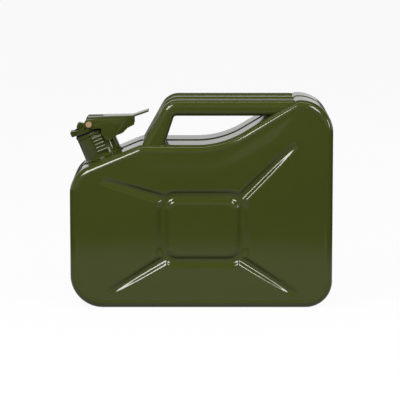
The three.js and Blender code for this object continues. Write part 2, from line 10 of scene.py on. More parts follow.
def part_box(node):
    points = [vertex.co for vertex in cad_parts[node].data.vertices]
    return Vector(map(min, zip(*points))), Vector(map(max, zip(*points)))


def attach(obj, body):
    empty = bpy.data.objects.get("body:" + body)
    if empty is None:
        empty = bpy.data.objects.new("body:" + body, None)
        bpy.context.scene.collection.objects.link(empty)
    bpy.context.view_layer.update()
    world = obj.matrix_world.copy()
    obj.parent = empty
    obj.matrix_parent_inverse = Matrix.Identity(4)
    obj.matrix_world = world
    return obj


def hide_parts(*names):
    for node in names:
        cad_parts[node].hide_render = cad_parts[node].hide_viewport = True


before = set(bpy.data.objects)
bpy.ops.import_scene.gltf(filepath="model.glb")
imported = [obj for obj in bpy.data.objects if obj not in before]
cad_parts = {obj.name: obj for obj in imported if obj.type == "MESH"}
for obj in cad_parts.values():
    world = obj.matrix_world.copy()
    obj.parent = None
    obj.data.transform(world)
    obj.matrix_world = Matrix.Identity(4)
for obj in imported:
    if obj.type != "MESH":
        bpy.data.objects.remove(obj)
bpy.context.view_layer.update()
scene = bpy.context.scene
MM = 0.001
SIDES = (("left", -1), ("right", 1))

# ---- sizes of the can, worked out from the frame where it holds them ----
shell_low, shell_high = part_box("side_shell_left")
FRONT, REAR = shell_low.x, shell_high.x
HALF_DEPTH = -shell_low.y
TOP = shell_high.z
EDGE_ROUND = 10 * MM
SEAM_DEPTH = 4.5 * MM
SEAM_LIP = 9.5 * MM  # where the groove's wall has rounded over into the rim
SEAM_FLOOR_HALF = 3.2 * MM
GRIP_LEVEL = TOP - 58.9 * MM
SHOULDER_ANGLE = math.radians(22.5)
SHOULDER_RUN = 92.7 * MM
HUMP_ANGLE = math.radians(31)
HUMP_RUN = 47.1 * MM
SHEET = 1 * MM
CLEARANCE = 0.3 * MM

SHOULDER_TOP_X = FRONT + SHOULDER_RUN
SHOULDER_FOOT_Z = GRIP_LEVEL - SHOULDER_RUN * math.tan(SHOULDER_ANGLE)
HUMP_TOP_X = REAR - HUMP_RUN
DIP_X = HUMP_TOP_X - (TOP - GRIP_LEVEL) / math.tan(HUMP_ANGLE)
# x, z and corner radius, anticlockwise. The rear top is 3 mm rounder than the frame's, and lies inside it.
CAN_CORNERS = [
    (FRONT, 0, 43 * MM),
    (REAR, 0, 35 * MM),
    (REAR, TOP, 43 * MM),
    (HUMP_TOP_X, TOP, 12 * MM),
    (DIP_X, GRIP_LEVEL, 120 * MM),
    (SHOULDER_TOP_X, GRIP_LEVEL, 20 * MM),
    (FRONT, SHOULDER_FOOT_Z, 38 * MM),
]

# The pressed channels
CHANNEL_DEPTH = 4.5 * MM
CHANNEL_WIDTH = 16.5 * MM
CHANNEL_HALF = 9.4 * MM  # out to where the wall's soft shoulder ends
CHANNEL_WALL = 8.2 * MM
CHANNEL_MIDDLE = CHANNEL_WIDTH / 2
PANEL_CENTRE = np.array([(FRONT + REAR) / 2 + 1.7 * MM, GRIP_LEVEL / 2 - 2 * MM])
PANEL_HALF = np.array([44, 35]) * MM
PANEL_ROUND = 10 * MM
ARM_TIPS = [
    (FRONT + 46.5 * MM, TOP - 105.5 * MM),
    (REAR - 52.5 * MM, TOP - 59.5 * MM),
    (FRONT + 55 * MM, 23 * MM),
    (REAR - 51 * MM, 20.4 * MM),
]
ARM_HALF, ARM_TIP_HALF = 9.2 * MM, 6.4 * MM
ARM_FADE = 0.6  # how much shallower an arm is at its tip
ARM_WALL_SHARE = 0.9
ARM_ROOT_INSET = 0.4  # how far an arm's root reaches back into the frame's corner, as a share of its round
CROWN = 1.2 * MM  # how far the middle of a side stands proud of its edge
CROWN_REACH = 0.35  # the share of the way in over which it rises

# The neck's own frame: x uphill along the shoulder, z out along the neck
NECK_PLACE = 46.4 * MM
NECK_FOOT = Vector((
    FRONT + NECK_PLACE * math.cos(SHOULDER_ANGLE),
    0,
    SHOULDER_FOOT_Z + NECK_PLACE * math.sin(SHOULDER_ANGLE),
))
NECK_MATRIX = Matrix.Translation(NECK_FOOT) @ Matrix.Rotation(-SHOULDER_ANGLE, 4, "Y")
NECK_RADIUS = 24.75 * MM


# ---- shader groups ----
def new_group(name, inputs, outputs):
    group = bpy.data.node_groups.new(name, "ShaderNodeTree")
    for label, kind, value in inputs:
        socket = group.interface.new_socket(label, in_out="INPUT", socket_type=kind)
        socket.default_value = value
    for label, kind in outputs:
        group.interface.new_socket(label, in_out="OUTPUT", socket_type=kind)
    entry = group.nodes.new("NodeGroupInput")
    leave = group.nodes.new("NodeGroupOutput")
    return group, entry, leave


def ramp_node(nodes, low, high, low_value, high_value):
    node = nodes.new("ShaderNodeMapRange")
    node.interpolation_type = "SMOOTHSTEP"
    sizes = {"From Min": low, "From Max": high, "To Min": low_value, "To Max": high_value}
    for label, value in sizes.items():
        node.inputs[label].default_value = value
    return node


def math_node(tree, operation, *values):
    """A sum in a shader or geometry tree. Each value is a number or the socket that gives it."""
    node = tree.nodes.new("ShaderNodeMath")
    node.operation = operation
    for socket, value in zip(node.inputs, values):
        if isinstance(value, (int, float)):
            socket.default_value = value
        else:
            tree.links.new(value, socket)
    return node.outputs[0]


def noise_node(tree, coords, scale, detail, roughness=0.5):
    node = tree.nodes.new("ShaderNodeTexNoise")
    if isinstance(scale, (int, float)):
        node.inputs["Scale"].default_value = scale
    else:
        tree.links.new(scale, node.inputs["Scale"])
    node.inputs["Detail"].default_value = detail
    node.inputs["Roughness"].default_value = roughness
    tree.links.new(coords.outputs["Object"], node.inputs["Vector"])
    return node.outputs["Fac"]


# How many times a metre each variation of a finish repeats
DRIFT_SCALE = 9
DUST_SCALE = 38
DUST_LOW, DUST_HIGH = 0.5, 0.8  # noise values where the dust starts and is full


def build_paint_group():
    """Slow colour drift, a fine orange-peel skin, and a thin veil of dust that dulls the gloss in patches."""
    inputs = [
        ("Colour", "NodeSocketColor", (0.1, 0.1, 0.1, 1)),
        ("Drift", "NodeSocketFloat", 0.12),
        ("Peel Scale", "NodeSocketFloat", 900.0),
        ("Gloss Roughness", "NodeSocketFloat", 0.12),
        ("Dust", "NodeSocketFloat", 0.06),
    ]
    outputs = [("Colour", "NodeSocketColor"), ("Roughness", "NodeSocketFloat"), ("Height", "NodeSocketFloat")]
    group, entry, leave = new_group("painted_skin", inputs, outputs)
    nodes, links = group.nodes, group.links
    coords = nodes.new("ShaderNodeTexCoord")
    slow = noise_node(group, coords, DRIFT_SCALE, 3)
    patches = noise_node(group, coords, DUST_SCALE, 6, 0.65)
    peel = noise_node(group, coords, entry.outputs["Peel Scale"], 1.5)
    centred = math_node(group, "SUBTRACT", slow, 0.5)
    drift = math_node(group, "MULTIPLY_ADD", centred, entry.outputs["Drift"], 1.0)
    tone = nodes.new("ShaderNodeVectorMath")
    tone.operation = "SCALE"
    links.new(entry.outputs["Colour"], tone.inputs[0])
    links.new(drift, tone.inputs["Scale"])
    dusty = ramp_node(nodes, DUST_LOW, DUST_HIGH, 0, 1)
    links.new(patches, dusty.inputs["Value"])
    veil = math_node(group, "MULTIPLY", dusty.outputs["Result"], entry.outputs["Dust"])
    links.new(tone.outputs["Vector"], leave.inputs["Colour"])
    links.new(math_node(group, "ADD", entry.outputs["Gloss Roughness"], veil), leave.inputs["Roughness"])
    links.new(peel, leave.inputs["Height"])
    return group


PAINT_GROUP = build_paint_group()
PEEL_HEIGHT = 0.1 * MM
DUST = 0.06  # how much rougher a dusty patch is


def finish_material(name, colour, metallic, roughness, drift, peel_scale, peel_strength):
    material = bpy.data.materials.new(name)
    material.use_nodes = True
    nodes, links = material.node_tree.nodes, material.node_tree.links
    shader = nodes["Principled BSDF"]
    shader.inputs["Metallic"].default_value = metallic
    skin = nodes.new("ShaderNodeGroup")
    skin.node_tree = PAINT_GROUP
    skin.inputs["Colour"].default_value = (*colour, 1)
    skin.inputs["Drift"].default_value = drift
    skin.inputs["Peel Scale"].default_value = peel_scale
    skin.inputs["Gloss Roughness"].default_value = roughness
    skin.inputs["Dust"].default_value = DUST
    relief = nodes.new("ShaderNodeBump")
    relief.inputs["Strength"].default_value = peel_strength
    relief.inputs["Distance"].default_value = PEEL_HEIGHT
    links.new(skin.outputs["Colour"], shader.inputs["Base Color"])
    links.new(skin.outputs["Roughness"], shader.inputs["Roughness"])
    links.new(skin.outputs["Height"], relief.inputs["Height"])
    links.new(relief.outputs["Normal"], shader.inputs["Normal"])
    return material


ENAMEL = finish_material(
    "olive_enamel", (0.045, 0.055, 0.009), metallic=0, roughness=0.09,
    drift=0.16, peel_scale=420, peel_strength=0.12)
ZINC = finish_material(
    "zinc_steel", (0.45, 0.44, 0.40), metallic=1, roughness=0.32,
    drift=0.3, peel_scale=1500, peel_strength=0.3)
RUBBER = finish_material(
    "black_rubber", (0.012, 0.012, 0.012), metallic=0, roughness=0.6,
    drift=0.3, peel_scale=2500, peel_strength=0.5)
COPPER = finish_material(
    "copper_rivet", (0.62, 0.38, 0.24), metallic=0.5, roughness=0.36,
    drift=0.4, peel_scale=1800, peel_strength=0.3)
SLOT_MATERIALS = {"olive_enamel": ENAMEL, "zinc_steel": ZINC, "black_rubber": RUBBER, "copper": COPPER}


# ---- mesh helpers ----
def add_piece(name, mesh, body, slot, replaced, smooth_angle=None):
    """A piece that rides on a body and stands for a CAD node. Edges sharper than smooth_angle stay crisp."""
    piece = bpy.data.objects.new(name, mesh)
    scene.collection.objects.link(piece)
    if not mesh.materials:
        mesh.materials.append(SLOT_MATERIALS[slot])
    mesh.shade_smooth()
    if smooth_angle is not None:
        mesh.set_sharp_from_angle(angle=math.radians(smooth_angle))
    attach(piece, body)
    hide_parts(replaced)


def mesh_from(name, vertices, faces):
    mesh = bpy.data.meshes.new(name)
    mesh.from_pydata([tuple(v) for v in vertices], [], faces)
    mesh.update()
    return mesh


def tidied(mesh, merge=1e-7):
    """Merges doubled vertices and turns the faces outwards."""
    shape = bmesh.new()
    shape.from_mesh(mesh)
    bmesh.ops.remove_doubles(shape, verts=shape.verts, dist=merge)
    bmesh.ops.recalc_face_normals(shape, faces=shape.faces)
    shape.to_mesh(mesh)
    shape.free()
    return mesh


def grid_faces(rows, columns, wrap_rows=False):
    """Quads between consecutive rows of a closed loop of columns."""
    faces = []
    for row in range(rows if wrap_rows else rows - 1):
        below, above = row * columns, ((row + 1) % rows) * columns
        for column in range(columns):
            beside = (column + 1) % columns
            faces.append((below + column, below + beside, above + beside, above + column))
    return faces


def outline_points(corners, inset=0.0, arc_step=2.4 * MM, side_step=2.4 * MM):
    """Points round an outline with rounded corners, moved in by inset, as many for any inset."""
    count = len(corners)
    ends = [np.array(corner[:2], float) for corner in corners]
    sides = [ends[(i + 1) % count] - ends[i] for i in range(count)]
    directions = [side / np.linalg.norm(side) for side in sides]
    inward = [np.array([-d[1], d[0]]) for d in directions]

    def corner_data(i, shift):
        before, after = directions[i - 1], directions[i]
        start_before = ends[i - 1] + inward[i - 1] * shift
        start_after = ends[i] + inward[i] * shift
        cross = before[0] * after[1] - before[1] * after[0]
        gap = start_after - start_before
        point = start_before + before * (gap[0] * after[1] - gap[1] * after[0]) / cross
        turn = math.atan2(cross, float(before @ after))
        radius = max(corners[i][2] - math.copysign(shift, turn), 0)
        reach = radius * math.tan(abs(turn) / 2)
        return point, turn, radius, reach

    points = []
    for i in range(count):
        point, turn, radius, reach = corner_data(i, inset)
        plain = corner_data(i, 0)
        following = corner_data((i + 1) % count, inset)
        plain_following = corner_data((i + 1) % count, 0)
        start = point - directions[i - 1] * reach
        centre = start + inward[i - 1] * math.copysign(radius, turn)
        steps = max(1, round(plain[2] * abs(turn) / arc_step))
        first = math.atan2(*(start - centre)[::-1]) if radius else 0
        for k in range(steps):
            if radius:
                angle = first + turn * k / steps
                points.append(centre + radius * np.array([math.cos(angle), math.sin(angle)]))
            else:
                points.append(point)
        leave = point + directions[i] * reach
        arrive = following[0] - directions[i] * following[3]
        length = np.linalg.norm(plain_following[0] - plain[0]) - plain[3] - plain_following[3]
        steps = max(1, round(length / side_step))
        for k in range(steps):
            points.append(leave + (arrive - leave) * k / steps)
    return np.array(points)


TURN_STEPS = 96


def turned(name, profile):
    """A closed profile of (radius, height) points in metres, turned round the neck's own axis."""
    vertices = []
    for radius, height in profile:
        for k in range(TURN_STEPS):
            angle = 2 * math.pi * k / TURN_STEPS
            vertices.append((radius * math.cos(angle), radius * math.sin(angle), height))
    closed = profile[0][0] > 0 and profile[-1][0] > 0
    mesh = tidied(mesh_from(name, vertices, grid_faces(len(profile), TURN_STEPS, wrap_rows=closed)))
    mesh.transform(NECK_MATRIX)
    return mesh


def combined(name, first, others, operation="UNION"):
    """A boolean of meshes, as a new mesh."""
    target = bpy.data.objects.new(name, first)
    scene.collection.objects.link(target)
    tools = []
    for other in others:
        tool = bpy.data.objects.new("tool", other)
        scene.collection.objects.link(tool)
        tools.append(tool)
        step = target.modifiers.new("step", "BOOLEAN")
        step.object = tool
        step.operation = operation
        step.solver = "EXACT"
    result = bpy.data.meshes.new_from_object(target.evaluated_get(bpy.context.evaluated_depsgraph_get()))
    for item in (target, *tools):
        bpy.data.objects.remove(item)
    result.materials.clear()
    result.name = name
    return result


def block(low, high):
    """A box between two corners, in millimetres of the neck's frame."""
    corners = [(x, y, z) for x in (low[0], high[0]) for y in (low[1], high[1]) for z in (low[2], high[2])]
    faces = [(0, 1, 3, 2), (4, 6, 7, 5), (0, 4, 5, 1), (2, 3, 7, 6), (0, 2, 6, 4), (1, 5, 7, 3)]
    mesh = tidied(mesh_from("block", np.array(corners) * MM, faces))
    mesh.transform(NECK_MATRIX)
    return mesh


EDGE_ANGLE = math.radians(35)  # edges sharper than this are rounded


def bevelled(mesh, width):
    source = bpy.data.objects.new("source", mesh)
    scene.collection.objects.link(source)
    bevel = source.modifiers.new("soft_edges", "BEVEL")
    bevel.width = width
    bevel.segments = 3
    bevel.limit_method = "ANGLE"
    bevel.angle_limit = EDGE_ANGLE
    result = bpy.data.meshes.new_from_object(source.evaluated_get(bpy.context.evaluated_depsgraph_get()))
    bpy.data.objects.remove(source)
    result.materials.clear()
    return result


def eased(points, radius, steps=3):
    """A (radius, height) profile with each inner corner rounded."""
    result = [points[0]]
    for before, corner, after in zip(points, points[1:], points[2:]):
        to_before, to_after = Vector(before) - Vector(corner), Vector(after) - Vector(corner)
        reach = min(radius, to_before.length / 2.2, to_after.length / 2.2)
        start = Vector(corner) + to_before.normalized() * reach
        end = Vector(corner) + to_after.normalized() * reach
        for k in range(steps + 1):
            t = k / steps
            result.append(tuple(start * (1 - t) ** 2 + 2 * t * (1 - t) * Vector(corner) + end * t * t))
    return result + [points[-1]]


def smooth(t):
    t = np.clip(t, 0, 1)
    return t * t * (3 - 2 * t)


# ---- side shells ----
def rounded_box_distance(points, half, radius):
    """Signed distance to a rounded rectangle about the panel's centre."""
    q = np.abs(points - PANEL_CENTRE) - (half - radius)
    outside = np.linalg.norm(np.maximum(q, 0), axis=1)
    return outside + np.minimum(np.maximum(q[:, 0], q[:, 1]), 0) - radius


def trough(distance, half, wall):
    """1 on a channel's floor, 0 outside it, with soft shoulders."""
    return smooth((half - distance) / wall)


def channel_depth(points):
    """How far each point of a side is pressed in."""
    ring = np.abs(rounded_box_distance(points, PANEL_HALF + CHANNEL_MIDDLE, PANEL_ROUND + CHANNEL_MIDDLE))
    depth = trough(ring, CHANNEL_HALF, CHANNEL_WALL)
    for tip in ARM_TIPS:
        tip = np.array(tip)
        side = np.sign(tip - PANEL_CENTRE)
        start = PANEL_CENTRE + side * (PANEL_HALF + CHANNEL_MIDDLE - PANEL_ROUND * ARM_ROOT_INSET)
        along = (tip - start) / np.linalg.norm(tip - start)
        length = np.linalg.norm(tip - start)
        travel = (points - start) @ along
        share = np.clip(travel / length, 0, 1)
        nearest = start + along * np.clip(travel, 0, length)[:, None]
        distance = np.linalg.norm(points - nearest, axis=1)
        half = ARM_HALF + (ARM_TIP_HALF - ARM_HALF) * share
        strength = 1 - ARM_FADE * share**3
        depth = np.maximum(depth, strength * trough(distance, half, half * ARM_WALL_SHARE))
    return depth * CHANNEL_DEPTH


def panel_loop(outer):
    """Where the rays from the panel's centre to the outer points cross the panel's own rounded edge."""
    rays = outer - PANEL_CENTRE
    rays /= np.linalg.norm(rays, axis=1)[:, None]
    low, high = np.zeros(len(rays)), np.full(len(rays), 0.1)
    for _ in range(40):
        middle = (low + high) / 2
        inside = rounded_box_distance(PANEL_CENTRE + rays * middle[:, None], PANEL_HALF, PANEL_ROUND) < 0
        low, high = np.where(inside, middle, low), np.where(inside, high, middle)
    return PANEL_CENTRE + rays * low[:, None]


def shell_sheet(thickness, ring_steps, panel_steps):
    """Rows of (x, depth from the mid plane, z), from the weld flange over the rim to the panel's centre."""
    rows = []

    def add_row(inset, depth):
        flat = outline_points(CAN_CORNERS, inset + thickness)
        rows.append(np.column_stack([flat[:, 0], np.full(len(flat), depth), flat[:, 1]]))

    add_row(SEAM_DEPTH, 0.15 * MM)
    for depth in (1.2, 2.2):
        add_row(SEAM_DEPTH, depth * MM)
    wall_steps = 12
    for k in range(wall_steps + 1):
        t = k / wall_steps
        wall_depth = SEAM_FLOOR_HALF + (SEAM_LIP - SEAM_FLOOR_HALF) * t
        add_row(SEAM_DEPTH * (1 - float(smooth(t))), wall_depth + thickness)
    rim_start, rim_end = SEAM_LIP + 2 * MM, HALF_DEPTH - EDGE_ROUND
    rim_steps = 6
    for k in range(rim_steps):
        add_row(0, rim_start + (rim_end - rim_start) * k / rim_steps)
    round_steps = 14
    bend = EDGE_ROUND - thickness
    for k in range(round_steps):
        angle = math.pi / 2 * k / round_steps
        drop = bend * (1 - math.cos(angle))
        add_row(drop, rim_end + bend * math.sin(angle))
    outer = outline_points(CAN_CORNERS, EDGE_ROUND)
    inner = panel_loop(outer)
    shares = [k / ring_steps for k in range(ring_steps + 1)]
    loops = [outer + (inner - outer) * t for t in shares]
    shares = [1 - k / panel_steps for k in range(1, panel_steps + 1)]
    loops += [PANEL_CENTRE + (inner - PANEL_CENTRE) * share for share in shares]
    edge_distance = np.linalg.norm(outer - PANEL_CENTRE, axis=1)
    for loop in loops:
        reach = np.linalg.norm(loop - PANEL_CENTRE, axis=1) / edge_distance
        crown = CROWN * smooth((1 - reach) / CROWN_REACH)
        depth = HALF_DEPTH - thickness - CROWN + crown - channel_depth(loop)
        rows.append(np.column_stack([loop[:, 0], depth, loop[:, 1]]))
    return rows


def build_shell(side):
    """One pressed half as a closed sheet, fine outside and coarser inside."""
    outer_rows, inner_rows = shell_sheet(0.0, 88, 10), shell_sheet(SHEET, 30, 4)
    skins = [np.concatenate(outer_rows), np.concatenate(inner_rows)]
    columns = len(outer_rows[0])
    faces = grid_faces(len(outer_rows), columns)
    count = len(skins[0])
    inner = [tuple(i + count for i in reversed(face)) for face in grid_faces(len(inner_rows), columns)]
    flange = [(c, (c + 1) % columns, (c + 1) % columns + count, c + count) for c in range(columns)]
    vertices = np.concatenate(skins)
    vertices[:, 1] *= side
    return tidied(mesh_from("form", vertices, faces + inner + flange))


def neck_hole():
    radius, reach = NECK_RADIUS + CLEARANCE, 30 * MM
    return turned("neck_hole", [(0, -reach), (radius, -reach), (radius, reach), (0, reach)])


def press_sides():
    for name, side in SIDES:
        shell = combined(f"pressed_side_{name}", build_shell(side), [neck_hole()], "DIFFERENCE")
        add_piece(f"pressed_side_{name}", shell, "can", "olive_enamel", f"side_shell_{name}")


press_sides()


# ---- grip bars ----
BAR_TOP = TOP - 0.5 * MM
BAR_UNDER = BAR_TOP - 20.8 * MM
BAR_EDGE = 9 * MM
BAR_END_ROUND = 10.2 * MM  # over BAR_EDGE, so that no corner of the outline turns inside out
BAR_END_X = HUMP_TOP_X + 4 * MM
BAR_ROOT = GRIP_LEVEL - 15 * MM
BEND_X = FRONT + 127.5 * MM
INNER_BEND_X = BEND_X + 9.5 * MM
LEG_FOOT_X = BEND_X - (BAR_TOP - BAR_ROOT) / math.tan(math.radians(60.8))
LEG_INNER_FOOT_X = INNER_BEND_X - (BAR_UNDER - BAR_ROOT) / math.tan(math.radians(71.8))
BAR_CORNERS = [
    (BAR_END_X, BAR_TOP, BAR_END_ROUND),
    (BEND_X, BAR_TOP, 25 * MM),
    (LEG_FOOT_X, BAR_ROOT, BAR_END_ROUND),
    (LEG_INNER_FOOT_X, BAR_ROOT, BAR_END_ROUND),
    (INNER_BEND_X, BAR_UNDER, 4 * MM),
    (BAR_END_X, BAR_UNDER, BAR_END_ROUND),
]
CAP_INSET = 0.2 * MM  # the last ring inside a rounded slab's flat cap


def rounded_slab(name, corners, low, high, edge, edge_steps=10):
    """An outline in X and Z given thickness along Y, with rounded edges and a flat cap each side."""
    layers = [(edge + CAP_INSET, low)]
    for k in range(edge_steps + 1):
        angle = math.pi / 2 * k / edge_steps
        layers.append((edge * (1 - math.sin(angle)), low + edge * (1 - math.cos(angle))))
    layers += [(inset, low + high - y) for inset, y in reversed(layers)]
    rows = []
    for inset, y in layers:
        flat = outline_points(corners, inset, arc_step=1.2 * MM, side_step=4 * MM)
        rows.append(np.column_stack([flat[:, 0], np.full(len(flat), y), flat[:, 1]]))
    columns = len(rows[0])
    faces = grid_faces(len(rows), columns)
    last = (len(rows) - 1) * columns
    faces += [tuple(reversed(range(columns))), tuple(range(last, last + columns))]
    return tidied(mesh_from(name, np.concatenate(rows), faces), 1e-6)


def trimmed(mesh, point, normal):
    """Cuts away what lies on the far side of a plane and caps the cut."""
    shape = bmesh.new()
    shape.from_mesh(mesh)
    everything = shape.verts[:] + shape.edges[:] + shape.faces[:]
    bmesh.ops.bisect_plane(shape, geom=everything, plane_co=point, plane_no=normal, clear_outer=True)
    rim = [edge for edge in shape.edges if edge.is_boundary]
    bmesh.ops.contextual_create(shape, geom=rim)
    bmesh.ops.recalc_face_normals(shape, faces=shape.faces)
    shape.to_mesh(mesh)
    shape.free()
    return mesh


SUNK = 2 * MM  # how far a bar's ends reach into the shell


def make_grip_bars():
    hump_normal = Vector((math.sin(HUMP_ANGLE), 0, -math.cos(HUMP_ANGLE)))
    for name in ("left", "centre", "right"):
        low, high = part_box(f"handle_bar_{name}")
        bar = rounded_slab(f"grip_bar_{name}", BAR_CORNERS, low.y, high.y, BAR_EDGE)
        trimmed(bar, (0, 0, GRIP_LEVEL - 4 * SUNK), (0, 0, -1))
        trimmed(bar, Vector((HUMP_TOP_X, 0, TOP)) + hump_normal * SUNK, hump_normal)
        add_piece(f"grip_bar_{name}", bar, "can", "olive_enamel", f"handle_bar_{name}", 50)


make_grip_bars()


# ---- neck, lid and lever: turned parts ----
def profile_mm(*points):
    return [(radius * MM, height * MM) for radius, height in points]


# Closed profiles of (radius, height) in millimetres
NECK_PROFILE = profile_mm(
    (23.25, 0), (23.25, -14), (24.75, -14), (24.75, 28.5), (25.2, 29.4),
    (24.75, 30.3), (24.75, 32), (23.25, 32), (23.25, 0))
WELD_PROFILE = profile_mm(
    (25.05, 1), (25.05, 0.2), (28.4, 0.3), (28, 1.2), (26.6, 1.9), (25.5, 2.8), (25.05, 2.8), (25.05, 1))
MOUTH_PROFILE = profile_mm((21.5, 34), (21.5, 32.3), (25.5, 32.3), (25.5, 36.3), (21.5, 36.3), (21.5, 34))
GASKET_PROFILE = profile_mm((18, 37.5), (18, 36.6), (24.5, 36.6), (24.5, 38.6), (18, 38.6), (18, 37.5))


def turn_piece(name, profile, edge, body, slot, node):
    add_piece(name, turned(name, eased(profile, edge)), body, slot, node, 60)


turn_piece("neck_tube", NECK_PROFILE, 0.4 * MM, "can", "olive_enamel", "filler_neck")
turn_piece("neck_weld", WELD_PROFILE, 0.5 * MM, "can", "olive_enamel", "neck_weld_collar")
turn_piece("mouth_lip", MOUTH_PROFILE, 0.9 * MM, "can", "olive_enamel", "mouth_ring")
turn_piece("sealing_ring", GASKET_PROFILE, 0.5 * MM, "lid", "black_rubber", "lid_gasket")


FLAT_ANGLE = math.radians(0.6)  # faces closer to one plane than this are merged


def softened(name, node, body, width):
    """A fine enamelled copy of a CAD node, with merged faces and softly broken edges."""
    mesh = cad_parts[node].data.copy()
    mesh.materials.clear()
    shape = bmesh.new()
    shape.from_mesh(mesh)
    bmesh.ops.remove_doubles(shape, verts=shape.verts, dist=1e-6)
    bmesh.ops.dissolve_limit(shape, angle_limit=FLAT_ANGLE, verts=shape.verts, edges=shape.edges)
    shape.to_mesh(mesh)
    shape.free()
    result = bevelled(mesh, width)
    result.name = name
    add_piece(name, result, body, "olive_enamel", node, 30)


softened("lever_press", "lever_channel", "lever", 0.5 * MM)
softened("lid_bracket", "lid_bridge", "lid", 0.2 * MM)
for side_name, _ in SIDES:
    softened(f"hinge_ear_{side_name}", f"hinge_lug_{side_name}", "can", 0.2 * MM)

# The lid's own levels along the neck, in millimetres
LID_FOOT, LID_TOP, RIM_TOP, FRONT_TOP = 38.9, 40.9, 42.5, 45.9
LID_RADIUS, RIM_INNER, RIVET_HOLE = 27, 24.6, 2.8
RIM_FOOT_RISE = 0.5  # how far above the plate's foot the raised front rim starts, inside the plate
LIP_CORNERS = [(-29.5, LID_FOOT, 2), (-24.6, LID_FOOT, 1.01), (-24.6, 46.9, 1.01), (-29.5, 46.9, 2)]
CATCH_CORNERS = [(-15.5, 43, 1.51), (-8, 43, 1.51), (-6.5, 49, 2), (-14.5, 55, 3), (-20, 48, 3)]


def neck_slab(name, corners, half_width, edge, edge_steps):
    """A rounded slab across the can, from (x, z, radius) corners in millimetres of the neck's frame."""
    corners = [(x * MM, z * MM, radius * MM) for x, z, radius in corners]
    slab = rounded_slab(name, corners, -half_width, half_width, edge, edge_steps)
    slab.transform(NECK_MATRIX)
    return slab


def lid_cap():
    """The lid's plate and rim, notched for the strap, with a raised front rim and a thumb lip."""
    plate_foot, rim_foot = LID_FOOT, LID_FOOT + RIM_FOOT_RISE
    plate = turned("plate", eased(profile_mm(
        (RIVET_HOLE, 40), (RIVET_HOLE, plate_foot), (LID_RADIUS, plate_foot), (LID_RADIUS, RIM_TOP),
        (RIM_INNER, RIM_TOP), (RIM_INNER, LID_TOP), (RIVET_HOLE, LID_TOP), (RIVET_HOLE, 40)), 0.8 * MM))
    rim = turned("rim", eased(profile_mm(
        (RIM_INNER, 41), (RIM_INNER, rim_foot), (LID_RADIUS, rim_foot),
        (LID_RADIUS, FRONT_TOP), (RIM_INNER, FRONT_TOP), (RIM_INNER, 41)), 0.9 * MM))
    front = combined("front", rim, [block((-40, -40, 30), (-9, 40, 60))], "INTERSECT")
    lip = neck_slab("lip", LIP_CORNERS, 11 * MM, 1 * MM, 5)
    strap_gap = block((0, -12.3, LID_TOP), (40, 12.3, 60))
    return combined("lid_cap", combined("notched", plate, [strap_gap], "DIFFERENCE"), [front, lip])


add_piece("lid_cap", lid_cap(), "lid", "olive_enamel", "lid_plate", 40)
catch = neck_slab("catch_nub", CATCH_CORNERS, 6 * MM, 1.5 * MM, 6)
add_piece("catch_nub", catch, "lid", "olive_enamel", "lid_catch", 50)


# ---- geometry node trees ----
def new_tree(name, inputs):
    """A modifier tree with a Geometry input and output and named sizes. Returns it and its ends."""
    tree = bpy.data.node_groups.new(name, "GeometryNodeTree")
    tree.is_modifier = True
    tree.interface.new_socket("Geometry", in_out="INPUT", socket_type="NodeSocketGeometry")
    for label, kind, value in inputs:
        socket = tree.interface.new_socket(label, in_out="INPUT", socket_type=kind)
        if value is not None:
            socket.default_value = value
    tree.interface.new_socket("Geometry", in_out="OUTPUT", socket_type="NodeSocketGeometry")
    return tree, tree.nodes.new("NodeGroupInput"), tree.nodes.new("NodeGroupOutput")


def close_tree(tree, entry, leave, geometry):
    """Realize Instances and Set Material, as the last two steps."""
    real = tree.nodes.new("GeometryNodeRealizeInstances")
    paint = tree.nodes.new("GeometryNodeSetMaterial")
    tree.links.new(geometry, real.inputs[0])
    tree.links.new(real.outputs[0], paint.inputs["Geometry"])
    tree.links.new(entry.outputs["Material"], paint.inputs["Material"])
    tree.links.new(paint.outputs[0], leave.inputs[0])


def grown(name, base, tree, material, **values):
    """A base mesh put through a tree with its named inputs, as a plain mesh."""
    carrier = bpy.data.objects.new(name, base)
    scene.collection.objects.link(carrier)
    step = carrier.modifiers.new("grow", "NODES")
    step.node_group = tree
    for item in tree.interface.items_tree:
        if item.in_out == "INPUT" and item.name in values:
            step[item.identifier] = values[item.name]
        if item.in_out == "INPUT" and item.name == "Material":
            step[item.identifier] = material
    result = bpy.data.meshes.new_from_object(carrier.evaluated_get(bpy.context.evaluated_depsgraph_get()))
    bpy.data.objects.remove(carrier)
    result.name = name
    return result


BEAD_STEP = 0.7 * MM  # between one section of the bead and the next


